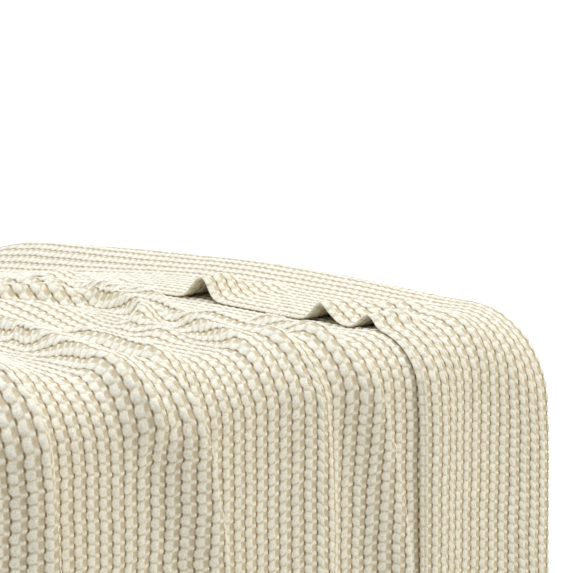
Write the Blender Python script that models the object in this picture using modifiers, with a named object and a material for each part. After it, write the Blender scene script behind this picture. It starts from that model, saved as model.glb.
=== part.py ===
"""A waffle weave cotton blanket lying over a single bed, one end turned back on itself.

The bed is a mattress on a plain upholstered base. The blanket is one sheet: it runs over the
mattress from side to side and hangs down both long sides. At the foot of the bed (+X) it is
folded under at the mattress edge, so a strip of it lies back on top, with its hem facing the
head. Metres, +Z up, origin on the floor under the middle of the whole.

Places on the cloth are given as (s, q): s is the distance from the fold towards the head of the
bed, and q the distance over the mattress outline from its middle line, negative to the front.
"""

import math

import bmesh
import bpy
import numpy as np

# Bed
MATTRESS_LENGTH = 2.032
MATTRESS_WIDTH = 0.965
MATTRESS_DEPTH = 0.230
MATTRESS_TOP = 0.500
EDGE_RADIUS = 0.060
CROWN = 0.020
CROWN_STRIPS = 12
MATTRESS_SEGMENTS = 6
BASE_INSET = 0.012
BASE_EDGE = 0.012
BASE_SEGMENTS = 3
RESTING_GAP = 0.0003
BED_PLACE = (-0.016, -0.009)

# Blanket: 90 by 66 inches
CLOTH_LENGTH = 2.286
CLOTH_WIDTH = 1.676
CLOTH_THICKNESS = 0.004
TURN_BACK = 0.262
FOLD_OVERHANG = 0.030
STRIP_START = 0.010
STRIP_BLEND = 0.030
SEAT_GAP = 0.0005
EDGE_CLEARANCE = 0.0030
SIDE_FROM = 0.38
SIDE_BLEND = 0.08
LAYER_GAP = 0.0012
CORNER_SOFTNESS = (0.010, 0.046)
CORNER_REACH = 0.054
SLACK = 0.004
SLACK_FROM = 0.25
SLACK_BLEND = 0.20
LEAST_LIFT = 0.0006
STEEPEST = 0.75
SETTLE_ROUNDS = 4
FINER = 4

# How far the fold's roll stands up: place along the fold (q), radius of the roll
ROLL = (
    (-0.88, 0.0065),
    (-0.50, 0.0050),
    (-0.33, 0.0050),
    (-0.24, 0.0075),
    (-0.05, 0.0100),
    (0.08, 0.0115),
    (0.25, 0.0170),
    (0.40, 0.0215),
    (0.55, 0.0110),
    (0.88, 0.0080),
)
ROLL_SPREAD = 0.110
ROLL_BLUR = (-0.04, -0.02, 0.0, 0.02, 0.04)

# How far past a fold's two ends it fades out: share of its half width, share of its length
FADE = (0.6, 0.12)

# Folds of the lower layer: from s, q, to s, q, sideways bow, half width, lean, height.
# A lean above 0 makes the side towards the foot of the bed the steeper one.
LOWER_FOLDS = (
    # across the top, from the turned strip down to the front edge
    (0.365, 0.170, 0.300, 0.040, 0.000, 0.024, -0.50, 0.015),
    (0.290, 0.020, 0.500, -0.450, -0.008, 0.022, -0.45, 0.019),
    (0.600, 0.010, 0.415, -0.100, 0.000, 0.027, -0.50, 0.026),
    (0.640, -0.040, 0.500, -0.170, 0.000, 0.048, 0.00, 0.018),
    (0.405, -0.100, 0.475, -0.260, 0.024, 0.019, -0.50, 0.023),
    (0.470, -0.245, 0.510, -0.340, 0.000, 0.020, 0.00, 0.012),
    (0.630, -0.110, 0.715, -0.440, 0.008, 0.028, -0.50, 0.022),
    (0.715, -0.440, 0.690, -0.520, 0.000, 0.024, 0.20, 0.014),
    (0.620, -0.290, 0.635, -0.460, 0.000, 0.022, -0.40, 0.018),
    (0.430, -0.320, 0.445, -0.460, 0.000, 0.022, -0.30, 0.016),
    (0.330, -0.310, 0.385, -0.450, 0.000, 0.022, -0.30, 0.016),
    (0.780, -0.200, 0.870, -0.450, 0.010, 0.032, -0.40, 0.022),
    (0.760, 0.220, 0.820, -0.080, 0.020, 0.044, 0.00, 0.016),
    (0.400, 0.420, 0.560, 0.160, 0.010, 0.040, 0.00, 0.014),
    (0.980, 0.380, 1.160, -0.300, -0.020, 0.060, 0.00, 0.014),
    (1.380, 0.300, 1.560, -0.380, 0.015, 0.065, 0.00, 0.012),
    # down the front drop
    (0.870, -0.440, 0.850, -0.900, 0.012, 0.032, 0.55, 0.028),
    (0.655, -0.460, 0.610, -0.900, 0.028, 0.032, 0.55, 0.028),
    (0.445, -0.450, 0.450, -0.900, 0.030, 0.034, 0.50, 0.012),
    (0.370, -0.450, 0.290, -0.900, 0.030, 0.029, 0.50, 0.026),
    (0.225, -0.490, 0.235, -0.900, 0.000, 0.046, 0.00, 0.012),
    (0.030, -0.520, 0.030, -0.900, 0.000, 0.050, 0.00, 0.005),
    (1.060, -0.450, 1.050, -0.900, 0.005, 0.038, 0.30, 0.022),
    (1.240, -0.520, 1.200, -0.900, -0.008, 0.040, -0.20, 0.024),
    (1.440, -0.460, 1.450, -0.900, 0.006, 0.036, 0.20, 0.020),
    (1.660, -0.520, 1.640, -0.900, -0.006, 0.045, 0.00, 0.024),
    (1.860, -0.540, 1.880, -0.900, 0.004, 0.036, 0.20, 0.016),
    # down the back drop
    (-0.050, 0.455, 0.140, 0.475, 0.000, 0.022, 0.00, 0.014),
    (0.340, 0.480, 0.360, 0.900, 0.004, 0.036, 0.20, 0.020),
    (0.580, 0.520, 0.550, 0.900, -0.006, 0.042, -0.20, 0.024),
    (0.840, 0.460, 0.870, 0.900, 0.005, 0.036, 0.20, 0.020),
    (1.100, 0.520, 1.080, 0.900, -0.006, 0.044, 0.00, 0.024),
    (1.360, 0.480, 1.380, 0.900, 0.005, 0.038, -0.20, 0.020),
    (1.640, 0.520, 1.610, 0.900, -0.006, 0.044, 0.20, 0.024),
    (1.860, 0.540, 1.870, 0.900, 0.004, 0.036, 0.00, 0.018),
)

# Folds of the turned strip alone, most of them open at its hem: same columns
STRIP_FOLDS = (
    (0.310, -0.143, 0.190, -0.145, 0.000, 0.017, 0.00, 0.015),
    (0.310, -0.143, 0.120, -0.150, 0.000, 0.020, 0.00, 0.012),
    (0.310, -0.335, 0.180, -0.350, 0.000, 0.014, 0.00, 0.014),
    (0.310, -0.335, 0.100, -0.400, 0.000, 0.017, 0.00, 0.011),
    (0.310, -0.405, 0.190, -0.430, 0.000, 0.013, 0.00, 0.015),
    (0.300, 0.140, 0.180, 0.160, 0.000, 0.030, -0.40, 0.010),
    (0.300, 0.030, 0.200, 0.040, 0.000, 0.014, 0.00, 0.004),
    (0.190, -0.330, 0.120, -0.480, 0.012, 0.024, 0.00, 0.007),
)

# Grid lines of the blanket's solid: up to this place, in this many steps
STRIP_STEPS = ((0.012, 3), (0.060, 3), (TURN_BACK, 9))
LOWER_STEPS = (
    (0.012, 3),
    (0.060, 3),
    (TURN_BACK, 9),
    (0.480, 11),
    (0.760, 10),
    (0.940, 5),
    (CLOTH_LENGTH - TURN_BACK, 7),
)
WIDTH_STEPS = (
    (-0.530, 6),
    (-0.400, 8),
    (-0.310, 6),
    (-0.190, 5),
    (-0.110, 5),
    (0.120, 5),
    (0.250, 3),
    (0.420, 3),
    (0.520, 4),
    (CLOTH_WIDTH / 2, 4),
)


def smooth(value):
    """0 below 0, 1 above 1, and a smooth step between."""
    t = np.clip(value, 0.0, 1.0)
    return t * t * (3.0 - 2.0 * t)


def crown(y):
    """How much the mattress rises over a flat one, as a squared cosine across its width."""
    return CROWN * np.cos(np.pi * np.clip(y / MATTRESS_WIDTH, -0.5, 0.5)) ** 2


def over_mattress(s, q):
    """Points and normals (y, z, ny, nz) on the mattress outline: flat top, quarter circle, side.

    The quarter circle grows towards the fold, where the cloth hugs the rounded corner.
    """
    softness = np.where(q < 0.0, CORNER_SOFTNESS[1], CORNER_SOFTNESS[0])
    radius = EDGE_RADIUS + softness * np.exp(-((s / CORNER_REACH) ** 2))
    start = MATTRESS_WIDTH / 2 - EDGE_RADIUS
    quarter = math.pi / 2 * EDGE_RADIUS
    soft_start = start - (radius - EDGE_RADIUS)
    soft_quarter = quarter + (radius - EDGE_RADIUS)
    away = np.abs(q)
    turn = np.clip((away - soft_start) / soft_quarter, 0.0, 1.0) * math.pi / 2
    down = np.maximum(away - soft_start - soft_quarter, 0.0)
    side = np.sign(q)
    y = side * (np.minimum(away, soft_start) + radius * np.sin(turn))
    top = MATTRESS_TOP - radius * (1.0 - np.cos(turn)) - down
    return y, top + crown(y), side * np.sin(turn), np.cos(turn)


def fold_height(rows, s, q):
    """Sum of the rows' folds: each a bell across a bowed line, fading out past its two ends."""
    total = np.zeros_like(s)
    for s0, q0, s1, q1, bow, half_width, lean, height in rows:
        length = math.hypot(s1 - s0, q1 - q0)
        along = ((s - s0) * (s1 - s0) + (q - q0) * (q1 - q0)) / length**2
        bent = bow * (1.0 - (2.0 * along - 1.0) ** 2)
        across = ((s - s0) * (q1 - q0) - (q - q0) * (s1 - s0)) / length - bent
        fade = FADE[0] * half_width / length + FADE[1]
        ends = smooth((along + fade) / (2 * fade)) * smooth((1 + fade - along) / (2 * fade))
        width = half_width * (1.0 - lean * np.sign(across))
        total += height * ends * np.exp(-((across / width) ** 2))
    return total


def lower_lift(s, q):
    """How far the lower layer's middle stands off the mattress."""
    side = smooth((np.abs(q) - SIDE_FROM) / SIDE_BLEND)
    slack = SLACK * smooth((s - SLACK_FROM) / SLACK_BLEND) * (1.0 - side)
    lift = fold_height(LOWER_FOLDS, s, q) + slack
    lift = 0.5 * (lift + np.sqrt(lift**2 + LEAST_LIFT**2))
    return CLOTH_THICKNESS / 2 + SEAT_GAP + (EDGE_CLEARANCE - SEAT_GAP) * side + lift


def roll_radius(q):
    """The roll's radius at q, from the table, rounded off by averaging neighbours."""
    places = [row[0] for row in ROLL]
    radii = [row[1] for row in ROLL]
    near = [np.interp(q + step, places, radii) for step in ROLL_BLUR]
    return sum(near) / len(near)


def section(a, q):
    """Where the cloth at distance a from the fold's outermost line lies: (s, how much it is lifted).

    A half circle joins the two layers. The lower one (a > 0) then runs flat, and the strip
    (a < 0) comes down from the roll to lie one layer higher.
    """
    radius = roll_radius(q)
    turn = np.clip(np.abs(a) / radius, 0.0, math.pi / 2)
    straight = np.maximum(np.abs(a) - radius * math.pi / 2, 0.0)
    s = radius * (1.0 - np.cos(turn)) + straight
    layer = CLOTH_THICKNESS + LAYER_GAP
    settled = 2.0 * radius - (2.0 * radius - layer) * smooth(straight / ROLL_SPREAD)
    upper = np.where(turn < math.pi / 2, radius + radius * np.sin(turn), settled)
    lower = radius - radius * np.sin(turn)
    return s, np.where(a < 0, upper, lower)


def cloth_at(s, q, rise, strip):
    """Points of the sheet's middle, from its place over the mattress and its rise off it."""
    y, z, ny, nz = over_mattress(s, q)
    off = lower_lift(s, q) + rise + strip * fold_height(STRIP_FOLDS, s, q)
    fold_line = MATTRESS_LENGTH / 2 + FOLD_OVERHANG
    x = BED_PLACE[0] + fold_line - s
    return np.stack([x, BED_PLACE[1] + y + off * ny, z + off * nz], axis=-1), off


def settle(a, b):
    """The draped points for cloth coordinates a (from the fold) and b (from the middle line).

    Where the cloth stands up in a fold it is drawn in, so that it keeps its cut length: each
    step over the bed is shortened to the level part of the cloth's own step.
    """
    strip = smooth((-a - STRIP_START) / STRIP_BLEND)
    s, q = section(a, b)[0], b.copy()
    middle = b.shape[1] // 2
    first = int(np.argmin(np.abs(a[:, 0])))
    for _ in range(SETTLE_ROUNDS):
        start, rise = section(a, q)
        _, off = cloth_at(s, q, rise, strip)
        folds = off - rise
        da, db = np.diff(a, axis=0), np.diff(b, axis=1)
        slope_a = np.clip(np.diff(folds, axis=0) / da, -STEEPEST, STEEPEST)
        slope_b = np.clip(np.diff(off, axis=1) / db, -STEEPEST, STEEPEST)
        lost_a = np.zeros_like(a)
        lost_b = np.zeros_like(b)
        lost_a[1:] = np.cumsum(np.abs(da) * (1 - np.sqrt(1 - slope_a**2)), axis=0)
        lost_b[:, 1:] = np.cumsum(db * (1 - np.sqrt(1 - slope_b**2)), axis=1)
        lost_a -= lost_a[first : first + 1]
        lost_b -= lost_b[:, middle : middle + 1]
        s = start - np.abs(lost_a)
        q = b - lost_b
    return cloth_at(s, q, section(a, q)[1], strip)[0]


def grid_lines(start, steps):
    """Places along one direction of the sheet, evenly spread between the ends in the table."""
    lines = [np.array([start])]
    for end, count in steps:
        lines.append(np.linspace(lines[-1][-1], end, count + 1)[1:])
    return np.concatenate(lines)


def finer(lines):
    """The same lines with FINER steps between each pair, so that folds are measured closely."""
    count = (len(lines) - 1) * FINER + 1
    return np.interp(np.linspace(0.0, len(lines) - 1.0, count), np.arange(len(lines)), lines)


def new_material(name, color, roughness):
    material = bpy.data.materials.new(name)
    material.use_nodes = True
    shader = material.node_tree.nodes["Principled BSDF"]
    shader.inputs["Base Color"].default_value = (*color, 1.0)
    shader.inputs["Roughness"].default_value = roughness
    shader.inputs["Metallic"].default_value = 0.0
    return material


def add_object(name, mesh, material, collection):
    mesh.materials.append(material)
    made = bpy.data.objects.new(name, mesh)
    collection.objects.link(made)
    return made


def box_mesh(name, size, bevel, segments):
    """A box with all its edges rounded, centred on the origin."""
    shape = bmesh.new()
    bmesh.ops.create_cube(shape, size=1.0)
    bmesh.ops.scale(shape, vec=size, verts=shape.verts)
    bmesh.ops.bevel(
        shape,
        geom=shape.edges[:],
        offset=bevel,
        segments=segments,
        profile=0.5,
        affect="EDGES",
    )
    mesh = bpy.data.meshes.new(name)
    shape.to_mesh(mesh)
    shape.free()
    return mesh


def make_mattress(collection):
    """A box with soft edges whose top rises to a low crown along its middle."""
    size = (MATTRESS_LENGTH, MATTRESS_WIDTH, MATTRESS_DEPTH)
    mesh = box_mesh("mattress", size, EDGE_RADIUS, MATTRESS_SEGMENTS)
    shape = bmesh.new()
    shape.from_mesh(mesh)
    reach = MATTRESS_WIDTH / 2 - EDGE_RADIUS
    for y in np.linspace(-reach, reach, CROWN_STRIPS + 1)[1:-1]:
        bmesh.ops.bisect_plane(
            shape,
            geom=shape.verts[:] + shape.edges[:] + shape.faces[:],
            plane_co=(0.0, y, 0.0),
            plane_no=(0.0, 1.0, 0.0),
        )
    for vertex in shape.verts:
        if vertex.co.z > 0.0:
            vertex.co.z += float(crown(vertex.co.y))
    shape.to_mesh(mesh)
    shape.free()
    material = new_material("mattress_ticking", (0.86, 0.84, 0.80), 0.9)
    made = add_object("mattress", mesh, material, collection)
    made.location = (*BED_PLACE, MATTRESS_TOP - MATTRESS_DEPTH / 2)
    return made


def make_base(collection):
    """The plain box that the mattress lies on, standing flat on the floor."""
    height = MATTRESS_TOP - MATTRESS_DEPTH - RESTING_GAP
    size = (MATTRESS_LENGTH - 2 * BASE_INSET, MATTRESS_WIDTH - 2 * BASE_INSET, height)
    mesh = box_mesh("bed_base", size, BASE_EDGE, BASE_SEGMENTS)
    material = new_material("base_cover", (0.62, 0.60, 0.56), 0.9)
    made = add_object("bed_base", mesh, material, collection)
    made.location = (*BED_PLACE, height / 2)
    return made


def make_blanket(collection):
    """The one sheet: a grid over the bed, given its thickness by Solidify."""
    strip = -grid_lines(0.0, STRIP_STEPS)[:0:-1]
    along = np.concatenate([strip, grid_lines(0.0, LOWER_STEPS)])
    across = grid_lines(-CLOTH_WIDTH / 2, WIDTH_STEPS)
    a, b = np.meshgrid(finer(along), finer(across), indexing="ij")
    points = settle(a, b)[::FINER, ::FINER]
    rows, columns = points.shape[:2]
    index = np.arange(rows * columns).reshape(rows, columns)
    corners = (index[:-1, :-1], index[:-1, 1:], index[1:, 1:], index[1:, :-1])
    faces = np.stack(corners, axis=-1).reshape(-1, 4)
    mesh = bpy.data.meshes.new("blanket")
    mesh.from_pydata(points.reshape(-1, 3).tolist(), [], faces.tolist())
    mesh.update()
    material = new_material("waffle_cotton", (0.80, 0.76, 0.66), 0.9)
    made = add_object("blanket", mesh, material, collection)
    thickness = made.modifiers.new("Thickness", "SOLIDIFY")
    thickness.thickness = CLOTH_THICKNESS
    thickness.offset = 0.0
    mesh.shade_smooth()
    return made


def main():
    for old in list(bpy.data.objects):
        bpy.data.objects.remove(old, do_unlink=True)
    collection = bpy.data.collections.new("Waffle blanket on a bed")
    bpy.context.scene.collection.children.link(collection)
    make_base(collection)
    make_mattress(collection)
    make_blanket(collection)


main()
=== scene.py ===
"""Looks of a waffle weave cotton blanket lying over a single bed.

Laid out as a Blender add-on and run as a script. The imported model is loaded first, as a fixed
frame. The blanket's two faces are surfaces worked out from the same folds as the solid, with the
cells of the weave raised on them. Places on the cloth are cloth coordinates (a, b): a runs from
the fold at the foot of the bed towards the head and is negative on the turned strip, b runs
across the bed and is negative to the front. Places over the bed are (s, q): s is the distance
from the fold towards the head, q the distance over the mattress outline from its middle line.
"""

import math

import bmesh
import bpy
import numpy as np
from mathutils import Matrix, Vector


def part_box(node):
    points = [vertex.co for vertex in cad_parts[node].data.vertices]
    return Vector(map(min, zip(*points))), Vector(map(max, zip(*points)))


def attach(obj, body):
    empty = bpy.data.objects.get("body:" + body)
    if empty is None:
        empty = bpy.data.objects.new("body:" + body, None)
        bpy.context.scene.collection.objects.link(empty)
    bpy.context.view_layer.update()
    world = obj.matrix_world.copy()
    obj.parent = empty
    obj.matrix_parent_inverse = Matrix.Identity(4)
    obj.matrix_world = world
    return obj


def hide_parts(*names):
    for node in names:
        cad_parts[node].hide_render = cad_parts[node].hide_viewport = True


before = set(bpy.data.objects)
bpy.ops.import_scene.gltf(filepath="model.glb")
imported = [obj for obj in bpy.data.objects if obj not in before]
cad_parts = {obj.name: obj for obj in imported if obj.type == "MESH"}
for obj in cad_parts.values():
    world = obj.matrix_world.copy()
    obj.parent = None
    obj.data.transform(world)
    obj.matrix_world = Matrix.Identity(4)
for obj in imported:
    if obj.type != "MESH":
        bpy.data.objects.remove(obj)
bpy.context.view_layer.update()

bl_info = {
    "name": "Waffle Blanket on a Bed",
    "version": (1, 0, 0),
    "blender": (4, 5, 0),
    "location": "3D View > Sidebar > Blanket",
    "description": "Dresses the packed bed with a waffle weave blanket, ticking and upholstery",
    "category": "Object",
}

# Bed
MATTRESS_LENGTH = 2.032
MATTRESS_WIDTH = 0.965
MATTRESS_DEPTH = 0.230
MATTRESS_TOP = 0.500
EDGE_RADIUS = 0.060
CROWN = 0.020
BASE_INSET = 0.012
BED_PLACE = (-0.016, -0.009)

# Blanket
CLOTH_LENGTH = 2.286
CLOTH_WIDTH = 1.676
CLOTH_THICKNESS = 0.004
COLUMNS = 127
ROWS = 140
TURN_BACK = 0.262
FOLD_OVERHANG = 0.030
STRIP_START = 0.010
STRIP_BLEND = 0.030
SEAT_GAP = 0.0005
EDGE_CLEARANCE = 0.0030
SIDE_FROM = 0.38
SIDE_BLEND = 0.08
LAYER_GAP = 0.0012
CORNER_SOFTNESS = (0.010, 0.046)
CORNER_REACH = 0.054
SLACK = 0.004
SLACK_FROM = 0.25
SLACK_BLEND = 0.20
LEAST_LIFT = 0.0006
HEM_SETTLE = 0.0022
HEM_SETTLE_FROM = 0.225
HEM_SETTLE_BLEND = 0.030
HEM_TOP = 0.44
NORMAL_STEP = 0.0008
COLUMN_PITCH = CLOTH_LENGTH / COLUMNS
ROW_PITCH = CLOTH_WIDTH / ROWS

# How the folds' drawing in is worked out: rounds, steepest slope counted, and the even lines
# used over the strip, past it and across the cloth
SETTLE_ROUNDS = 4
STEEPEST = 0.75
STRIP_LINES = 45
LOWER_LINES = 340
CROSS_LINES = 281

# How far the fold's roll stands up: place along the fold (q), radius of the roll
ROLL = (
    (-0.88, 0.0065),
    (-0.50, 0.0050),
    (-0.33, 0.0050),
    (-0.24, 0.0075),
    (-0.05, 0.0100),
    (0.08, 0.0115),
    (0.25, 0.0170),
    (0.40, 0.0215),
    (0.55, 0.0110),
    (0.88, 0.0080),
)
ROLL_SPREAD = 0.110
ROLL_BLUR = (-0.04, -0.02, 0.0, 0.02, 0.04)

# How far past a fold's two ends it fades out: share of its half width, share of its length
FADE = (0.6, 0.12)

# Folds of the lower layer: from s, q, to s, q, sideways bow, half width, lean, height.
# A lean above 0 makes the side towards the foot of the bed the steeper one.
LOWER_FOLDS = (
    # across the top, from the turned strip down to the front edge
    (0.365, 0.170, 0.300, 0.040, 0.000, 0.024, -0.50, 0.015),
    (0.290, 0.020, 0.500, -0.450, -0.008, 0.022, -0.45, 0.019),
    (0.600, 0.010, 0.415, -0.100, 0.000, 0.027, -0.50, 0.026),
    (0.640, -0.040, 0.500, -0.170, 0.000, 0.048, 0.00, 0.018),
    (0.405, -0.100, 0.475, -0.260, 0.024, 0.019, -0.50, 0.023),
    (0.470, -0.245, 0.510, -0.340, 0.000, 0.020, 0.00, 0.012),
    (0.630, -0.110, 0.715, -0.440, 0.008, 0.028, -0.50, 0.022),
    (0.715, -0.440, 0.690, -0.520, 0.000, 0.024, 0.20, 0.014),
    (0.620, -0.290, 0.635, -0.460, 0.000, 0.022, -0.40, 0.018),
    (0.430, -0.320, 0.445, -0.460, 0.000, 0.022, -0.30, 0.016),
    (0.330, -0.310, 0.385, -0.450, 0.000, 0.022, -0.30, 0.016),
    (0.780, -0.200, 0.870, -0.450, 0.010, 0.032, -0.40, 0.022),
    (0.760, 0.220, 0.820, -0.080, 0.020, 0.044, 0.00, 0.016),
    (0.400, 0.420, 0.560, 0.160, 0.010, 0.040, 0.00, 0.014),
    (0.980, 0.380, 1.160, -0.300, -0.020, 0.060, 0.00, 0.014),
    (1.380, 0.300, 1.560, -0.380, 0.015, 0.065, 0.00, 0.012),
    # down the front drop
    (0.870, -0.440, 0.850, -0.900, 0.012, 0.032, 0.55, 0.028),
    (0.655, -0.460, 0.610, -0.900, 0.028, 0.032, 0.55, 0.028),
    (0.445, -0.450, 0.450, -0.900, 0.030, 0.034, 0.50, 0.012),
    (0.370, -0.450, 0.290, -0.900, 0.030, 0.029, 0.50, 0.026),
    (0.225, -0.490, 0.235, -0.900, 0.000, 0.046, 0.00, 0.012),
    (0.030, -0.520, 0.030, -0.900, 0.000, 0.050, 0.00, 0.005),
    (1.060, -0.450, 1.050, -0.900, 0.005, 0.038, 0.30, 0.022),
    (1.240, -0.520, 1.200, -0.900, -0.008, 0.040, -0.20, 0.024),
    (1.440, -0.460, 1.450, -0.900, 0.006, 0.036, 0.20, 0.020),
    (1.660, -0.520, 1.640, -0.900, -0.006, 0.045, 0.00, 0.024),
    (1.860, -0.540, 1.880, -0.900, 0.004, 0.036, 0.20, 0.016),
    # down the back drop
    (-0.050, 0.455, 0.140, 0.475, 0.000, 0.022, 0.00, 0.014),
    (0.340, 0.480, 0.360, 0.900, 0.004, 0.036, 0.20, 0.020),
    (0.580, 0.520, 0.550, 0.900, -0.006, 0.042, -0.20, 0.024),
    (0.840, 0.460, 0.870, 0.900, 0.005, 0.036, 0.20, 0.020),
    (1.100, 0.520, 1.080, 0.900, -0.006, 0.044, 0.00, 0.024),
    (1.360, 0.480, 1.380, 0.900, 0.005, 0.038, -0.20, 0.020),
    (1.640, 0.520, 1.610, 0.900, -0.006, 0.044, 0.20, 0.024),
    (1.860, 0.540, 1.870, 0.900, 0.004, 0.036, 0.00, 0.018),
)

# Folds of the turned strip alone, most of them open at its hem: the same order of values
STRIP_FOLDS = (
    (0.310, -0.143, 0.190, -0.145, 0.000, 0.017, 0.00, 0.015),
    (0.310, -0.143, 0.120, -0.150, 0.000, 0.020, 0.00, 0.012),
    (0.310, -0.335, 0.180, -0.350, 0.000, 0.014, 0.00, 0.014),
    (0.310, -0.335, 0.100, -0.400, 0.000, 0.017, 0.00, 0.011),
    (0.310, -0.405, 0.190, -0.430, 0.000, 0.013, 0.00, 0.015),
    (0.300, 0.140, 0.180, 0.160, 0.000, 0.030, -0.40, 0.010),
    (0.300, 0.030, 0.200, 0.040, 0.000, 0.014, 0.00, 0.004),
    (0.190, -0.330, 0.120, -0.480, 0.012, 0.024, 0.00, 0.007),
)

# One cell of the weave, seen with the foot of the bed to the right: how high the face stands
# above the middle of the cloth, in millimetres, where these lines of the cell cross
CELL_ACROSS = (0.00, 0.06, 0.14, 0.36, 0.56, 0.64, 0.80, 0.93)
CELL_ALONG = (0.00, 0.12, 0.22, 0.50, 0.78, 0.88)
CELL_HEIGHTS = (
    (-0.6, 0.0, 0.6, 0.8, 0.9, 0.9, 1.3, 0.8),
    (-0.1, 0.6, 1.2, 1.5, 1.1, 0.8, 1.0, 0.7),
    (0.4, 1.1, 1.8, 2.2, 1.6, 0.6, 0.3, 0.5),
    (0.6, 1.3, 2.1, 2.5, 1.8, 0.5, 0.2, 0.5),
    (0.4, 1.1, 1.8, 2.2, 1.6, 0.6, 0.3, 0.5),
    (-0.1, 0.6, 1.2, 1.5, 1.1, 0.8, 1.0, 0.7),
)
MILLIMETRE = 0.001

# How unevenly the cells stand up: share of their height, and two sines' radians a column and a row
CELL_UNEVEN = 0.22
UNEVEN_SINES = ((12.9898, 78.233), (3.7, -5.1))

# Shifts of the weave's lines, as sines: size, radians a metre along a and along b, start. Then
# each column's wave round its squares, and how far in from the cloth's edges all shifts set in.
SHIFTS_ALONG = ((0.0011, 2.1, 21.0, 1.3), (0.0005, 9.0, 74.0, 0.0))
SHIFTS_ACROSS = ((0.0009, 17.0, 3.0, 0.4), (0.0004, 83.0, -5.0, 0.0))
COLUMN_WAVE = 0.0006
STILL_EDGE = 0.03

# Where a panel has fewer lines: those cell lines, and the lowest height in millimetres
SPARSE_ACROSS = (0, 2, 4, 6)
SPARSE_ALONG = (0, 2, 4)
SPARSE_LOWEST = 0.2

# The hem, from its underside round the edge to its top: distance in from the edge, height
HEM = (
    (0.0080, -0.0015),
    (0.0030, -0.0015),
    (0.0006, -0.0010),
    (0.0000, 0.0000),
    (0.0006, 0.0011),
    (0.0024, 0.0019),
    (0.0044, 0.0017),
    (0.0058, 0.0006),
)

# How far in the hem reaches, the share its beads take of its height, how they slant, and the
# height that they start at
HEM_DEPTH = 0.0064
HEM_BEADS = 0.5
HEM_TWIST = 1.6
BEADED_ABOVE = 0.001

# Where in a cell the hems take their colour: share of the column, share of the row
HEM_COLUMN_SHARE = 0.36
HEM_ROW_SHARE = 0.50

# The woven panels: name, first and last column, rows between which every cell line is used,
# whether the columns have fewer lines, and which face of the cloth is outermost
STRIP_END = 16
LOWER_START = 26
PANELS = (
    ("blanket_turned_strip", 0, STRIP_END, 0, 105, False, 1),
    ("blanket_by_the_strip", LOWER_START, 44, 0, 83, False, -1),
    ("blanket_middle", 44, 62, 0, 74, False, -1),
    ("blanket_past_the_middle", 62, 72, 0, 62, False, -1),
    ("blanket_head_half", 72, COLUMNS, 0, 0, True, -1),
)

# The hidden faces: how far they stop short of the hems, how far they lie off the cloth's middle,
# rows of points, how far the bend's close points reach, and points before, in and after the bend
HIDDEN_MARGIN = 0.007
HIDDEN_OFFSET = 0.0024
UNDER_ROWS = 141
INSIDE_ROWS = 241
BEND_REACH = 0.05
BEND_POINTS = (37, 33, 20)

# Box shapes: rows up a quarter circle and up a side, how many degrees a seam spreads over, and
# how near two points are joined
CORNER_ROWS = 31
SIDE_ROWS = 8
SEAM_SPREAD = 4.0
WELD = 0.00005
BASE_EDGE = 0.012
BASE_CORNER = 0.014

# Seams: degrees up the upper edge, and for the base the depth too
MATTRESS_SEAMS = (22.0, 38.0)
BASE_SEAM = (45.0, 0.0015)

# Masks of one cell, in shares of it: the raised square's middle, half width and half length, the
# power that rounds its corners, and where its side fades into the painted shade round it
SQUARE_MIDDLE = 0.30
SQUARE_HALF_WIDTH = 0.30
SQUARE_HALF_LENGTH = 0.40
SQUARE_POWER = 3.0
SQUARE_SIDE = (0.35, 1.90)

# Where the bar between two recesses, the recess, the necks, the gap and the gap's holes set in,
# and how strong the line between two squares and the gap are. The recess, the line, the gap and its
# holes are painted shade, the weave's shade in its hollows; at the bar none is painted.
BAR = (0.20, 0.48)
BESIDE = (0.46, 0.70)
NECK = (0.16, 0.38)
GAP = (0.075, 0.018)
HOLE = (0.115, 0.030)
LINE_SHADE_SHARE = 0.7
GAP_SHADE_SHARE = 0.50

# Plain covers: how dark the painted shade in the ribs' valleys is, and the ribs' share of the bump
RIB_VALLEY_SHADE = 0.78
RIB_SHARE = 0.5

# A Mix node's colour sockets: two in and one out
MIX_FIRST = 6
MIX_SECOND = 7
MIX_RESULT = 2

# Stage: the floor, the white that the camera sees, and the soft lamps: name, place, where they
# point, size and tint
FLOOR_HALF = 30.0
FLOOR_COLOUR = (0.81, 0.81, 0.80, 1.0)
FLOOR_GLOW = 0.85
WHITE = (1.0, 1.0, 1.0, 1.0)
WHITE_STRENGTH = 1.1
SKY_TINT = (1.0, 0.945, 0.83, 1.0)
OVERHEAD = ("overhead_softbox", (-0.8, 0.3, 7.3), (0.3, 0.0, 0.5), 6.0, (0.79, 0.86, 1.0))
FRONT = ("front_softbox", (5.2, -4.3, 2.6), (0.3, -0.5, 0.35), 3.0, (1.0, 0.95, 0.85))

# Camera: place, degrees it turns from straight along the bed's width, and in pixels of the
# picture how far the horizon is above its middle and how long the lens is
CAMERA_PLACE = (-1.488, -2.301, 0.870)
CAMERA_YAW = 48.5
HORIZON_ABOVE = 266.5
LENS_PIXELS = 2500.0
SENSOR_WIDTH = 36.0
VIEW_END = 200.0


def smooth(value):
    """0 below 0, 1 above 1, and a smooth step between."""
    t = np.clip(value, 0.0, 1.0)
    return t * t * (3.0 - 2.0 * t)


def crown(y):
    """How much the mattress rises over a flat one, as a squared cosine across its width."""
    return CROWN * np.cos(np.pi * np.clip(y / MATTRESS_WIDTH, -0.5, 0.5)) ** 2


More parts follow.
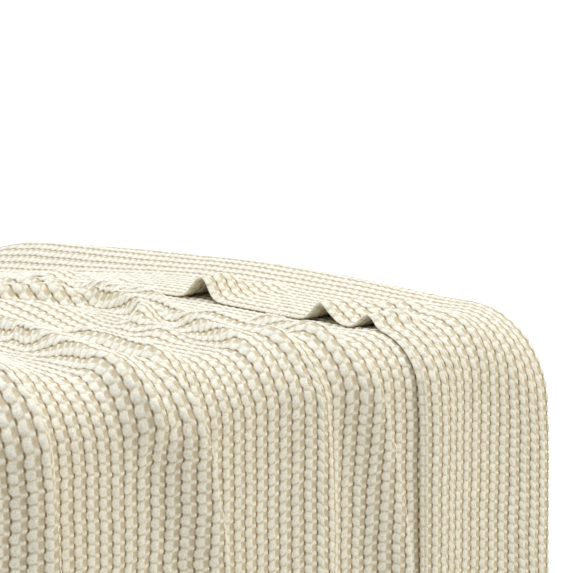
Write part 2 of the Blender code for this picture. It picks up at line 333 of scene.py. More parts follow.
def over_mattress(s, q):
    """Points and normals (y, z, ny, nz) on the mattress outline: flat top, quarter circle, side.

    The quarter circle grows towards the fold, where the cloth hugs the rounded corner.
    """
    softness = np.where(q < 0.0, CORNER_SOFTNESS[1], CORNER_SOFTNESS[0])
    radius = EDGE_RADIUS + softness * np.exp(-((s / CORNER_REACH) ** 2))
    start = MATTRESS_WIDTH / 2 - EDGE_RADIUS
    quarter = math.pi / 2 * EDGE_RADIUS
    soft_start = start - (radius - EDGE_RADIUS)
    soft_quarter = quarter + (radius - EDGE_RADIUS)
    away = np.abs(q)
    turn = np.clip((away - soft_start) / soft_quarter, 0.0, 1.0) * math.pi / 2
    down = np.maximum(away - soft_start - soft_quarter, 0.0)
    side = np.sign(q)
    y = side * (np.minimum(away, soft_start) + radius * np.sin(turn))
    top = MATTRESS_TOP - radius * (1.0 - np.cos(turn)) - down
    return y, top + crown(y), side * np.sin(turn), np.cos(turn)


def fold_height(rows, s, q):
    """Sum of the rows' folds: each a bell across a bowed line, fading out past its two ends."""
    total = np.zeros_like(s)
    for s0, q0, s1, q1, bow, half_width, lean, height in rows:
        length = math.hypot(s1 - s0, q1 - q0)
        along = ((s - s0) * (s1 - s0) + (q - q0) * (q1 - q0)) / length**2
        bent = bow * (1.0 - (2.0 * along - 1.0) ** 2)
        across = ((s - s0) * (q1 - q0) - (q - q0) * (s1 - s0)) / length - bent
        fade = FADE[0] * half_width / length + FADE[1]
        ends = smooth((along + fade) / (2 * fade)) * smooth((1 + fade - along) / (2 * fade))
        width = half_width * (1.0 - lean * np.sign(across))
        total += height * ends * np.exp(-((across / width) ** 2))
    return total


def lower_lift(s, q):
    """How far the lower layer's middle stands off the mattress."""
    side = smooth((np.abs(q) - SIDE_FROM) / SIDE_BLEND)
    slack = SLACK * smooth((s - SLACK_FROM) / SLACK_BLEND) * (1.0 - side)
    lift = fold_height(LOWER_FOLDS, s, q) + slack
    lift = 0.5 * (lift + np.sqrt(lift**2 + LEAST_LIFT**2))
    return CLOTH_THICKNESS / 2 + SEAT_GAP + (EDGE_CLEARANCE - SEAT_GAP) * side + lift


def roll_radius(q):
    """The roll's radius at q, from the table, rounded off by averaging neighbours."""
    places, radii = zip(*ROLL)
    near = [np.interp(q + step, places, radii) for step in ROLL_BLUR]
    return sum(near) / len(near)


def section(a, q):
    """Where the cloth at distance a from the fold's outermost line lies: (s, its lift).

    A half circle joins the two layers. The lower one (a > 0) then runs flat, and the strip
    (a < 0) comes down from the roll to lie one layer higher.
    """
    radius = roll_radius(q)
    turn = np.clip(np.abs(a) / radius, 0.0, math.pi / 2)
    straight = np.maximum(np.abs(a) - radius * math.pi / 2, 0.0)
    s = radius * (1.0 - np.cos(turn)) + straight
    layer = CLOTH_THICKNESS + LAYER_GAP
    settled = 2.0 * radius - (2.0 * radius - layer) * smooth(straight / ROLL_SPREAD)
    upper = np.where(turn < math.pi / 2, radius + radius * np.sin(turn), settled)
    lower = radius - radius * np.sin(turn)
    return s, np.where(a < 0, upper, lower)


def cloth_at(s, q, rise, strip):
    """Points of the sheet's middle, from its place over the mattress and its rise off it."""
    y, z, ny, nz = over_mattress(s, q)
    off = lower_lift(s, q) + rise + strip * fold_height(STRIP_FOLDS, s, q)
    fold_line = MATTRESS_LENGTH / 2 + FOLD_OVERHANG
    x = BED_PLACE[0] + fold_line - s
    return np.stack([x, BED_PLACE[1] + y + off * ny, z + off * nz], axis=-1), off


def on_strip(a):
    """1 on the turned strip, 0 on the lower layer, blended over the fold."""
    return smooth((-a - STRIP_START) / STRIP_BLEND)


def drawn_in():
    """How far the folds draw the cloth in, on even lines over it: (a, b, loss along, loss across).

    Where the cloth stands up in a fold it keeps its cut length, so each step over the bed is
    shortened to the level part of the cloth's own step.
    """
    strip = np.linspace(-TURN_BACK, 0.0, STRIP_LINES)
    lower = np.linspace(0.0, CLOTH_LENGTH - TURN_BACK, LOWER_LINES)
    lines_a = np.concatenate([strip, lower[1:]])
    lines_b = np.linspace(-CLOTH_WIDTH / 2, CLOTH_WIDTH / 2, CROSS_LINES)
    a, b = np.meshgrid(lines_a, lines_b, indexing="ij")
    first = STRIP_LINES - 1
    middle = CROSS_LINES // 2
    s, q = section(a, b)[0], b.copy()
    lost_a, lost_b = np.zeros_like(a), np.zeros_like(b)
    for _ in range(SETTLE_ROUNDS):
        start, rise = section(a, q)
        _, off = cloth_at(s, q, rise, on_strip(a))
        step_a = np.diff(a, axis=0)
        step_b = np.diff(b, axis=1)
        slope_a = np.clip(np.diff(off - rise, axis=0) / step_a, -STEEPEST, STEEPEST)
        slope_b = np.clip(np.diff(off, axis=1) / step_b, -STEEPEST, STEEPEST)
        lost_a[1:] = np.cumsum(np.abs(step_a) * (1 - np.sqrt(1 - slope_a**2)), axis=0)
        lost_b[:, 1:] = np.cumsum(step_b * (1 - np.sqrt(1 - slope_b**2)), axis=1)
        lost_a[0] = 0.0
        lost_b[:, 0] = 0.0
        lost_a -= lost_a[first : first + 1].copy()
        lost_b -= lost_b[:, middle : middle + 1].copy()
        s, q = start - np.abs(lost_a), b - lost_b
    return lines_a, lines_b, np.abs(lost_a), lost_b


def between_lines(lines_a, lines_b, values, a, b):
    """The values at (a, b), read off the four line crossings round each place."""
    place_a = np.interp(a, lines_a, np.arange(len(lines_a)))
    place_b = np.interp(b, lines_b, np.arange(len(lines_b)))
    line_a = np.minimum(place_a.astype(int), len(lines_a) - 2)
    line_b = np.minimum(place_b.astype(int), len(lines_b) - 2)
    past_a = place_a - line_a
    past_b = place_b - line_b
    low = values[line_a, line_b] * (1 - past_a) + values[line_a + 1, line_b] * past_a
    high = values[line_a, line_b + 1] * (1 - past_a) + values[line_a + 1, line_b + 1] * past_a
    return low * (1 - past_b) + high * past_b


def draped(drape, a, b):
    """Where cloth coordinates (a, b) lie in space, on the middle of the cloth."""
    lines_a, lines_b, lost_a, lost_b = drape
    q = b - between_lines(lines_a, lines_b, lost_b, a, b)
    start, rise = section(a, q)
    on_top = 1.0 - smooth((np.abs(q) - HEM_TOP) / SIDE_BLEND)
    rise = rise - HEM_SETTLE * on_top * smooth((-a - HEM_SETTLE_FROM) / HEM_SETTLE_BLEND)
    s = start - between_lines(lines_a, lines_b, lost_a, a, b)
    return cloth_at(s, q, rise, on_strip(a))[0]


def draped_with_normals(drape, a, b):
    """Points of the cloth's middle and unit normals, from the points a small step either way."""
    along = draped(drape, a + NORMAL_STEP, b) - draped(drape, a - NORMAL_STEP, b)
    across = draped(drape, a, b + NORMAL_STEP) - draped(drape, a, b - NORMAL_STEP)
    normal = np.cross(along, across)
    normal /= np.linalg.norm(normal, axis=-1, keepdims=True)
    return draped(drape, a, b), normal


def hem_lines(edge, inwards):
    """Lines of a turned hem at one edge of the cloth: (place, cell line, height), from below up."""
    return [(edge + inwards * depth, -1, height) for depth, height in HEM]


def cell_lines(first, last, pitch, start, marks, picked, backwards):
    """Lines of the weave's cells from cell first to cell last: (place, cell line, height).

    Backwards, each cell's lines run the other way, as on the cloth's other face.
    """
    order = [picked[0]] + list(picked[:0:-1]) if backwards else picked
    lines = []
    for cell in range(first, last):
        for line in order:
            share = (1.0 - marks[line]) % 1.0 if backwards else marks[line]
            lines.append((start + (cell + share) * pitch, line, 0.0))
    return lines


def without_hem(lines, low_edge, high_edge):
    """The lines that lie clear of the hems at the edges given."""
    low = -math.inf if low_edge is None else low_edge + HEM_DEPTH
    high = math.inf if high_edge is None else high_edge - HEM_DEPTH
    return [line for line in lines if low <= line[0] <= high]


def lines_along(first, last, sparse, backwards):
    """The lines of a panel's columns, with the hem where it reaches an end of the cloth."""
    picked = SPARSE_ACROSS if sparse else range(len(CELL_ACROSS))
    low = -TURN_BACK if first == 0 else None
    high = CLOTH_LENGTH - TURN_BACK if last == COLUMNS else None
    lines = cell_lines(
        first, last, COLUMN_PITCH, -TURN_BACK, CELL_ACROSS, list(picked), backwards
    )
    lines = without_hem(lines, low, high)
    if low is not None:
        lines = hem_lines(low, 1.0) + lines
    if high is None:
        lines.append((-TURN_BACK + last * COLUMN_PITCH, 0, 0.0))
    else:
        lines += hem_lines(high, -1.0)[::-1]
    return lines


def lines_across(fine_from, fine_to):
    """The lines of a panel's rows: every cell line between two rows, fewer outside them."""
    low, high = -CLOTH_WIDTH / 2, CLOTH_WIDTH / 2
    lines = []
    for first, last, picked in (
        (0, fine_from, SPARSE_ALONG),
        (fine_from, fine_to, range(len(CELL_ALONG))),
        (fine_to, ROWS, SPARSE_ALONG),
    ):
        lines += cell_lines(first, last, ROW_PITCH, low, CELL_ALONG, list(picked), False)
    lines = without_hem(lines, low, high)
    return hem_lines(low, 1.0) + lines + hem_lines(high, -1.0)[::-1]


def sine_sum(rows, a, b):
    """Sum of the rows' sines at cloth coordinates (a, b)."""
    return sum(size * np.sin(by_a * a + by_b * b + start) for size, by_a, by_b, start in rows)


def in_cells(a, b):
    """Cloth coordinates (a, b) as counts of columns and rows from the cloth's corner."""
    return (a + TURN_BACK) / COLUMN_PITCH, (b + CLOTH_WIDTH / 2) / ROW_PITCH


def wobble(a, b, face):
    """Small shifts of the weave, in metres, which fade out at the cloth's edges.

    They are sums of sines, and each column's wave round its squares.
    """
    wave = np.cos(2 * math.pi * in_cells(a, b)[1])
    shift_a = sine_sum(SHIFTS_ALONG, a, b) + face * COLUMN_WAVE * wave
    shift_b = sine_sum(SHIFTS_ACROSS, a, b)
    inside = smooth((a + TURN_BACK) / STILL_EDGE)
    inside = inside * smooth((CLOTH_LENGTH - TURN_BACK - a) / STILL_EDGE)
    inside = inside * smooth((CLOTH_WIDTH / 2 - np.abs(b)) / STILL_EDGE)
    return shift_a * inside, shift_b * inside


def cell_relief(line_a, line_b, a, b, depth, lowest):
    """Height of the woven face above the cloth's middle, from the table of one cell.

    Each cell's height is scaled a little up or down by its own column and row. The small
    share added to each keeps a cell's first line from being rounded into the cell before it.
    """
    table = np.maximum(np.array(CELL_HEIGHTS), lowest) * MILLIMETRE * depth
    height = table[np.maximum(line_b, 0)[None, :], np.maximum(line_a, 0)[:, None]]
    along, across = in_cells(a, b)
    column = np.floor(along + 0.5 / COLUMNS)
    row = np.floor(across + 0.5 / ROWS)
    uneven = 1.0
    for by_column, by_row in UNEVEN_SINES:
        uneven = uneven * np.sin(by_column * column + by_row * row)
    return height * (1.0 + CELL_UNEVEN * uneven)


def grid_faces(rows, columns, flip):
    """Quads of a grid whose points run row by row, turned over if flip is true."""
    index = np.arange(rows * columns).reshape(rows, columns)
    corners = [index[:-1, :-1], index[1:, :-1], index[1:, 1:], index[:-1, 1:]]
    if flip:
        corners = corners[::-1]
    return np.stack(corners, axis=-1).reshape(-1, 4)


def new_mesh(name, points, faces):
    """A mesh of quads, put in as whole arrays, with smooth shading."""
    mesh = bpy.data.meshes.new(name)
    count = len(faces)
    mesh.vertices.add(len(points))
    mesh.vertices.foreach_set("co", np.asarray(points, np.float32).ravel())
    mesh.loops.add(count * 4)
    mesh.loops.foreach_set("vertex_index", np.asarray(faces, np.int32).ravel())
    mesh.polygons.add(count)
    mesh.polygons.foreach_set("loop_start", np.arange(0, count * 4, 4, dtype=np.int32))
    mesh.update(calc_edges=True)
    mesh.validate()
    mesh.shade_smooth()
    return mesh


def add_uv(mesh, uv, faces):
    """UV map "Weave", one pair per point of the mesh."""
    layer = mesh.uv_layers.new(name="Weave")
    layer.data.foreach_set("uv", np.asarray(uv[faces.ravel()], np.float32).ravel())


def add_piece(name, mesh, material):
    """An object of the mesh in its material, put in the scene."""
    mesh.materials.append(material)
    piece = bpy.data.objects.new(name, mesh)
    bpy.context.scene.collection.objects.link(piece)
    return piece


def woven_panel(name, drape, lines_a, lines_b, face, depth, lowest, material):
    """One face of part of the blanket: the draped cloth, raised by the weave and by its hems.

    Each point is the cloth's middle moved along its normal by the cell's height, or by the
    hem's where it lies in a hem. face is 1 on the side the normals point to and -1 on the
    other, where the columns count backwards.
    """
    place_a, index_a, hem_a = (np.array(values) for values in zip(*lines_a))
    place_b, index_b, hem_b = (np.array(values) for values in zip(*lines_b))
    a, b = np.meshgrid(place_a, place_b, indexing="ij")
    shift_a, shift_b = wobble(a, b, face)
    points, normals = draped_with_normals(drape, a + shift_a, b + shift_b)
    hem_a = hem_a[:, None]
    hem_b = hem_b[None, :]
    in_a = index_a[:, None] < 0
    in_b = index_b[None, :] < 0
    height = cell_relief(index_a, index_b, a, b, depth, lowest)
    height = np.where(in_a & in_b, np.minimum(hem_a, hem_b), height)
    height = np.where(in_a & ~in_b, hem_a, height)
    height = np.where(in_b & ~in_a, hem_b, height)
    along, across = in_cells(a, b)
    if face < 0:
        along = COLUMNS - along
    turns = np.where(in_a, across + HEM_TWIST * along, along + HEM_TWIST * across)
    beads = np.cos(2 * math.pi * turns)
    beaded = (in_a | in_b) & (height > BEADED_ABOVE)
    height = height * np.where(beaded, 1.0 - HEM_BEADS * beads, 1.0)
    points = points + face * height[..., None] * normals
    faces = grid_faces(len(place_a), len(place_b), face < 0)
    mesh = new_mesh(name, points.reshape(-1, 3), faces)
    along = np.where(in_a, HEM_COLUMN_SHARE, along)
    across = np.where(in_b, HEM_ROW_SHARE, across)
    add_uv(mesh, np.stack([along, across], axis=-1).reshape(-1, 2), faces)
    return add_piece(name, mesh, material)


def plain_panel(name, drape, place_a, place_b, face, offset, material):
    """A hidden face of the cloth, smooth, offset from the cloth's middle along its normal."""
    a, b = np.meshgrid(place_a, place_b, indexing="ij")
    points, normals = draped_with_normals(drape, a, b)
    points = points + face * offset * normals
    faces = grid_faces(len(place_a), len(place_b), face < 0)
    mesh = new_mesh(name, points.reshape(-1, 3), faces)
    add_uv(mesh, np.stack(in_cells(a, b), axis=-1).reshape(-1, 2), faces)
    return add_piece(name, mesh, material)


def shell_outline(inset, length, width, corner, straight_steps=16, corner_steps=6):
    """Plan points (x, y) of a rounded rectangle drawn in by inset, anticlockwise."""
    half_x, half_y = length / 2 - inset, width / 2 - inset
    radius = max(corner - inset, 0.0)
    centre_x, centre_y = half_x - radius, max(half_y - radius, 0.0)
    quarter = np.linspace(0.0, math.pi / 2, corner_steps + 1)
    corners = []
    for number, (sign_x, sign_y) in enumerate(((1, 1), (-1, 1), (-1, -1), (1, -1))):
        turn = number * math.pi / 2 + quarter
        x = sign_x * centre_x + radius * np.cos(turn)
        y = sign_y * centre_y + radius * np.sin(turn)
        corners.append(np.stack([x, y], axis=-1))
    share = np.linspace(0.0, 1.0, straight_steps + 1)[1:-1, None]
    outline = []
    for here, after in zip(corners, corners[1:] + corners[:1]):
        outline += [here, here[-1] + (after[0] - here[-1]) * share]
    return np.concatenate(outline)


def shell_mesh(name, profile, length, width, corner, crowned):
    """A closed box shape: each row of the profile (inset, height) is one ring round the plan.

    The first and last rings close over the middle line. A crowned shell rises across its top
    as the mattress does.
    """
    rings = []
    for inset, height in profile:
        plan = shell_outline(inset, length, width, corner)
        z = np.full(len(plan), height)
        if crowned:
            z = z + crown(plan[:, 1]) * (height > MATTRESS_TOP - MATTRESS_DEPTH / 2)
        rings.append(np.column_stack([plan, z]))
    points = np.array(rings)
    points[..., :2] += BED_PLACE
    count, around = points.shape[:2]
    index = np.arange(count * around).reshape(count, around)
    nearby = np.roll(index, -1, axis=1)
    corners = (index[:-1], nearby[:-1], nearby[1:], index[1:])
    faces = np.stack(corners, axis=-1).reshape(-1, 4)
    mesh = new_mesh(name, points.reshape(-1, 3), faces)
    shape = bmesh.new()
    shape.from_mesh(mesh)
    bmesh.ops.remove_doubles(shape, verts=shape.verts, dist=WELD)
    bmesh.ops.recalc_face_normals(shape, faces=shape.faces)
    shape.to_mesh(mesh)
    shape.free()
    mesh.shade_smooth()
    return mesh


def edge_profile(low, high, radius, inward, width, seams, crown_steps):
    """Rows (inset, height) up one side: under, quarter circle, side, quarter circle, over.

    Seams are given as (angle on the upper quarter circle, depth): the profile dips there and
    comes back between, as a taped edge does. The lower edge is the same, turned over.
    """
    upper = []
    for angle in np.linspace(0.0, 90.0, CORNER_ROWS):
        dip = sum(depth * math.exp(-(((angle - at) / SEAM_SPREAD) ** 2)) for at, depth in seams)
        reach = radius - inward - dip
        turn = math.radians(angle)
        upper.append((radius - reach * math.cos(turn), high - radius + reach * math.sin(turn)))
    top = [(inset, high - inward) for inset in np.linspace(radius, width / 2, crown_steps)[1:]]
    lower = [(inset, low + high - height) for inset, height in upper]
    under = [(inset, low + inward) for inset, _ in top]
    middle = np.linspace(low + radius, high - radius, SIDE_ROWS)[1:-1]
    side = [(inward, height) for height in middle]
    return under[::-1] + lower[::-1] + side + upper + top


def new_group(name, inputs, outputs):
    """An empty shader node group with its named sockets."""
    group = bpy.data.node_groups.new(name, "ShaderNodeTree")
    for label, kind, value in inputs:
        socket = group.interface.new_socket(label, in_out="INPUT", socket_type=kind)
        if value is not None:
            socket.default_value = value
    for label, kind in outputs:
        group.interface.new_socket(label, in_out="OUTPUT", socket_type=kind)
    return group


def set_inputs(node, values):
    """Sets the node's inputs by their names."""
    for name, value in values.items():
        node.inputs[name].default_value = value


def feed(tree, socket, value):
    """Links the socket to another one, or sets it to a plain value."""
    if isinstance(value, bpy.types.NodeSocket):
        tree.links.new(value, socket)
    else:
        socket.default_value = value


def math_node(tree, operation, first, second=None, third=None):
    """A Math node with its inputs linked or set, returning its output."""
    node = tree.nodes.new("ShaderNodeMath")
    node.operation = operation
    for socket, value in zip(node.inputs, (first, second, third)):
        if value is not None:
            feed(tree, socket, value)
    return node.outputs[0]


def distance_node(tree, value, place):
    """How far value is from a place."""
    return math_node(tree, "ABSOLUTE", math_node(tree, "SUBTRACT", value, place))


def step_node(tree, value, low, high):
    """A smooth step of value from 0 at low to 1 at high."""
    node = tree.nodes.new("ShaderNodeMapRange")
    node.interpolation_type = "SMOOTHSTEP"
    tree.links.new(value, node.inputs["Value"])
    set_inputs(node, {"From Min": low, "From Max": high})
    return node.outputs["Result"]


def weave_group():
    """Masks of one weave cell from the cloth's own coordinates.

    Recess shade: painted shade in the recess beside each rounded square and, less strong, in the
    line between two squares. Gap shade: painted shade in the thin gap between columns, darkest at
    the necks between rows.
    """
    group = new_group(
        "Waffle cell",
        [("Weave", "NodeSocketVector", None)],
        [("Recess shade", "NodeSocketFloat"), ("Gap shade", "NodeSocketFloat")],
    )
    taken = group.nodes.new("NodeGroupInput")
    given = group.nodes.new("NodeGroupOutput")
    parts = group.nodes.new("ShaderNodeSeparateXYZ")
    group.links.new(taken.outputs["Weave"], parts.inputs[0])
    u = math_node(group, "FRACT", parts.outputs[0])
    v = math_node(group, "FRACT", parts.outputs[1])
    from_side = math_node(group, "SUBTRACT", 0.5, distance_node(group, u, 0.5))
    from_row = distance_node(group, v, 0.5)
    from_square = distance_node(group, u, SQUARE_MIDDLE)
    sideways = math_node(group, "DIVIDE", from_square, SQUARE_HALF_WIDTH)
    sideways = math_node(group, "POWER", sideways, SQUARE_POWER)
    lengthways = math_node(group, "DIVIDE", from_row, SQUARE_HALF_LENGTH)
    lengthways = math_node(group, "POWER", lengthways, SQUARE_POWER)
    # painted shade round the square: full beside it in the recess, less in the line between two
    # squares, none at the bar
    outside = step_node(group, math_node(group, "ADD", sideways, lengthways), *SQUARE_SIDE)
    bar = step_node(group, from_row, *BAR)
    beside = step_node(group, u, *BESIDE)
    deeper = math_node(group, "SUBTRACT", 1.0 - LINE_SHADE_SHARE, bar)
    share = math_node(group, "MULTIPLY_ADD", beside, deeper, LINE_SHADE_SHARE)
    sunk = math_node(group, "MULTIPLY", outside, share)
    # painted shade in the gap between columns: a thin line at part strength, full in the holes at
    # the necks
    neck = step_node(group, from_row, *NECK)
    gap = step_node(group, from_side, *GAP)
    hole = step_node(group, from_side, *HOLE)
    between = math_node(group, "MULTIPLY", gap, GAP_SHADE_SHARE)
    gap_shade = math_node(group, "MAXIMUM", math_node(group, "MULTIPLY", hole, neck), between)
    group.links.new(sunk, given.inputs["Recess shade"])
    group.links.new(gap_shade, given.inputs["Gap shade"])
    return group


def thread_group():
    """Fine spun thread: a value near 1 that varies as the fibres do, and a height for bump.

    The value is a fine noise and half of a broad one, each taken from its middle of 0.5.
    """
    group = new_group(
        "Spun thread",
        [
            ("Place", "NodeSocketVector", None),
            ("Scale", "NodeSocketFloat", 900.0),
            ("Variation", "NodeSocketFloat", 0.10),
        ],
        [("Tone", "NodeSocketFloat"), ("Height", "NodeSocketFloat")],
    )
    taken = group.nodes.new("NodeGroupInput")
    given = group.nodes.new("NodeGroupOutput")
    fine = group.nodes.new("ShaderNodeTexNoise")
    set_inputs(fine, {"Detail": 3.0, "Roughness": 0.6})
    group.links.new(taken.outputs["Place"], fine.inputs["Vector"])
    group.links.new(taken.outputs["Scale"], fine.inputs["Scale"])
    broad = group.nodes.new("ShaderNodeTexNoise")
    set_inputs(broad, {"Scale": 160.0, "Detail": 3.0})
    group.links.new(taken.outputs["Place"], broad.inputs["Vector"])
    small = math_node(group, "SUBTRACT", fine.outputs[0], 0.5)
    large = math_node(group, "SUBTRACT", broad.outputs[0], 0.5)
    large = math_node(group, "MULTIPLY", large, 0.5)
    both = math_node(group, "ADD", small, large)
    varied = math_node(group, "MULTIPLY", both, taken.outputs["Variation"])
    group.links.new(math_node(group, "ADD", 1.0, varied), given.inputs["Tone"])
    group.links.new(fine.outputs[0], given.inputs["Height"])
    return group


def mix_node(tree, amount, first, second, blend="MIX"):
    """A colour mix: amount 0 gives first, 1 gives second, or both multiplied if blend says so."""
    node = tree.nodes.new("ShaderNodeMix")
    node.data_type = "RGBA"
    node.blend_type = blend
    feed(tree, node.inputs["Factor"], amount)
    feed(tree, node.inputs[MIX_FIRST], first)
    feed(tree, node.inputs[MIX_SECOND], second)
    return node.outputs[MIX_RESULT]


def tinted(tree, plain, tone):
    """The plain colour multiplied by a grey tone."""
    grey = tree.nodes.new("ShaderNodeCombineColor")
    for socket in grey.inputs[:3]:
        tree.links.new(tone, socket)
    return mix_node(tree, 1.0, plain, grey.outputs[0], "MULTIPLY")


def new_material(name, roughness, sheen):
    """A matt material, with its node tree and shader."""
    material = bpy.data.materials.new(name)
    material.use_nodes = True
    shader = material.node_tree.nodes["Principled BSDF"]
    set_inputs(shader, {"Roughness": roughness, "Metallic": 0.0, "Specular IOR Level": 0.15})
    set_inputs(shader, {"Sheen Weight": sheen, "Sheen Roughness": 0.5})
    return material, material.node_tree, shader


def add_bump(tree, shader, height, strength, distance):
    """Bump from a height, into the shader's normal."""
    bump = tree.nodes.new("ShaderNodeBump")
    set_inputs(bump, {"Strength": strength, "Distance": distance})
    tree.links.new(height, bump.inputs["Height"])
    tree.links.new(bump.outputs["Normal"], shader.inputs["Normal"])


def colour(value):
    """A setting's colour as a tuple, fully opaque."""
    return tuple(float(part) for part in value) + (1.0,)


def thread_node(tree, place, scale, variation):
    """The spun thread group, placed by Object coordinates."""
    thread = tree.nodes.new("ShaderNodeGroup")
    thread.node_tree = bpy.data.node_groups.get("Spun thread") or thread_group()
    set_inputs(thread, {"Scale": scale, "Variation": variation})
    tree.links.new(place.outputs["Object"], thread.inputs["Place"])
    return thread


def cotton_material(cloth):
    """Cream cotton on the weave: raised squares, warm painted shade in recesses, brown in gaps."""
    material, tree, shader = new_material("waffle_cotton", roughness=0.92, sheen=0.05)
    uv = tree.nodes.new("ShaderNodeUVMap")
    uv.uv_map = "Weave"
    cell = tree.nodes.new("ShaderNodeGroup")
    cell.node_tree = weave_group()
    tree.links.new(uv.outputs[0], cell.inputs["Weave"])
    place = tree.nodes.new("ShaderNodeTexCoord")
    thread = thread_node(tree, place, scale=480.0, variation=0.75)
    # painted shade: the recess mask darkens the raised colour towards the recess shade colour
    raised = mix_node(
        tree, cell.outputs["Recess shade"], colour(cloth.raised_colour), colour(cloth.recess_shade_colour)
    )
    # painted shade: the gap mask darkens it further towards the dark brown of the gaps' shade
    gap_shade = mix_node(tree, cell.outputs["Gap shade"], raised, colour(cloth.gap_shade_colour))
    tree.links.new(tinted(tree, gap_shade, thread.outputs["Tone"]), shader.inputs["Base Color"])
    add_bump(tree, shader, thread.outputs["Height"], strength=0.35, distance=0.0006)
    return material


def covering_material(name, main_colour, scale, ribs, roughness):
    """A plain woven cover: crossing ribs in the bump, and a faint uneven tone.

    The ribs are two crossing sines multiplied, and their valleys are up to half darkened by painted
    shade.
    """
    material, tree, shader = new_material(name, roughness, sheen=0.1)
    place = tree.nodes.new("ShaderNodeTexCoord")
    thread = thread_node(tree, place, scale, variation=0.14)
    parts = tree.nodes.new("ShaderNodeSeparateXYZ")
    tree.links.new(place.outputs["Object"], parts.inputs[0])
    diagonal = math_node(tree, "ADD", parts.outputs[0], parts.outputs[1])
    one = math_node(tree, "SINE", math_node(tree, "MULTIPLY", diagonal, ribs))
    rising = math_node(tree, "SUBTRACT", parts.outputs[2], diagonal)
    two = math_node(tree, "SINE", math_node(tree, "MULTIPLY", rising, ribs))
    weave = math_node(tree, "MULTIPLY", one, two)
    height = math_node(tree, "MULTIPLY_ADD", weave, RIB_SHARE, thread.outputs["Height"])
    # painted shade: a darker copy of the cover's colour, mixed in by the ribs' sines up to a half
    dark = tuple(RIB_VALLEY_SHADE * part for part in main_colour)
    shade = math_node(tree, "MULTIPLY_ADD", weave, 0.25, 0.25)
    base = mix_node(tree, shade, colour(main_colour), colour(dark))
    tree.links.new(tinted(tree, base, thread.outputs["Tone"]), shader.inputs["Base Color"])
    add_bump(tree, shader, height, strength=0.4, distance=0.0005)
    return material


def colour_setting(name, description, default):
    """A colour for the panel."""
    return bpy.props.FloatVectorProperty(
        name=name, description=description, subtype="COLOR", size=3, default=default
    )


class WaffleClothSettings(bpy.types.PropertyGroup):
    raised_colour: colour_setting(
        "Raised squares", "Colour of the raised squares of the weave", (0.855, 0.815, 0.680)
    )
    # painted shade: this colour is the shade in the weave's recesses, painted warmer and darker
    # than the cloth
    recess_shade_colour: colour_setting(
        "Recesses", "Colour of the sunk squares of the weave", (0.625, 0.535, 0.365)
    )
    # painted shade: this colour is the deep shade between the columns, painted dark brown
    gap_shade_colour: colour_setting(
        "Gaps", "Colour deep between the columns of the weave", (0.31, 0.215, 0.095)
    )
    relief: bpy.props.FloatProperty(
        name="Relief",
        description="How strongly the squares stand up, as a share of the real cloth's",
        default=1.0,
        min=0.0,
        max=1.5,
        subtype="FACTOR",
    )


class WaffleBedSettings(bpy.types.PropertyGroup):
    ticking_colour: colour_setting(
        "Ticking", "Colour of the mattress cover", (0.78, 0.76, 0.71)
    )
    cover_colour: colour_setting(
        "Base cover", "Colour of the cloth on the bed base", (0.50, 0.48, 0.43)
    )
    seam_depth: bpy.props.FloatProperty(
        name="Seam depth",
        description="How deep the taped edges of the mattress are drawn in",
        default=0.004,
        unit="LENGTH",
    )


class WaffleStageSettings(bpy.types.PropertyGroup):
    lens: bpy.props.FloatProperty(
        name="Lens",
        description="Focal length of the camera",
        default=157.07,
        unit="CAMERA",
    )
    sky: bpy.props.FloatProperty(
        name="Surroundings",
        description="Brightness of the white surroundings",
        default=0.33,
        min=0.0,
    )
    lamp: bpy.props.FloatProperty(
        name="Overhead lamp",
        description="Power of the soft lamp over the bed",
        default=605.0,
        unit="POWER",
    )
    side_lamp: bpy.props.FloatProperty(
        name="Side lamp",
        description="Power of the soft lamp to the right of the bed's front",
        default=172.0,
        unit="POWER",
    )


def finish_piece(piece, nodes):
    """The piece rides the body and stands in for the nodes named."""
    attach(piece, "root")
    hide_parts(*nodes)


class WAFFLE_OT_add_mattress(bpy.types.Operator):
    """Adds the mattress: a soft box with taped edges and a low crown, in ticking"""

    bl_idname = "waffle.add_mattress"
    bl_label = "Add Mattress"

    def execute(self, context):
        bed = context.scene.waffle_bed
        low, high = MATTRESS_TOP - MATTRESS_DEPTH, MATTRESS_TOP
        seams = [(angle, bed.seam_depth) for angle in MATTRESS_SEAMS]
        rows = edge_profile(
            low, high, EDGE_RADIUS, inward=0.0004, width=MATTRESS_WIDTH, seams=seams, crown_steps=14
        )
        mesh = shell_mesh(
            "mattress_cover", rows, MATTRESS_LENGTH, MATTRESS_WIDTH, EDGE_RADIUS, True
        )
        ticking = covering_material(
            "ticking", bed.ticking_colour, scale=600.0, ribs=900.0, roughness=0.85
        )
        piece = add_piece("mattress_cover", mesh, ticking)
        finish_piece(piece, ["mattress"])
        return {"FINISHED"}


class WAFFLE_OT_add_base(bpy.types.Operator):
    """Adds the bed base: a plain box covered in woven cloth, with seamed edges"""

    bl_idname = "waffle.add_base"
    bl_label = "Add Bed Base"

    def execute(self, context):
        bed = context.scene.waffle_bed
        low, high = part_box("bed_base")[0][2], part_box("bed_base")[1][2]
        length = MATTRESS_LENGTH - 2 * BASE_INSET
        width = MATTRESS_WIDTH - 2 * BASE_INSET
        rows = edge_profile(
            low, high, BASE_EDGE, inward=0.0, width=width, seams=[BASE_SEAM], crown_steps=6
        )
        mesh = shell_mesh("base_cover", rows, length, width, BASE_CORNER, False)
        cover = covering_material(
            "upholstery", bed.cover_colour, scale=500.0, ribs=1300.0, roughness=0.9
        )
        piece = add_piece("base_cover", mesh, cover)
        finish_piece(piece, ["bed_base"])
        return {"FINISHED"}


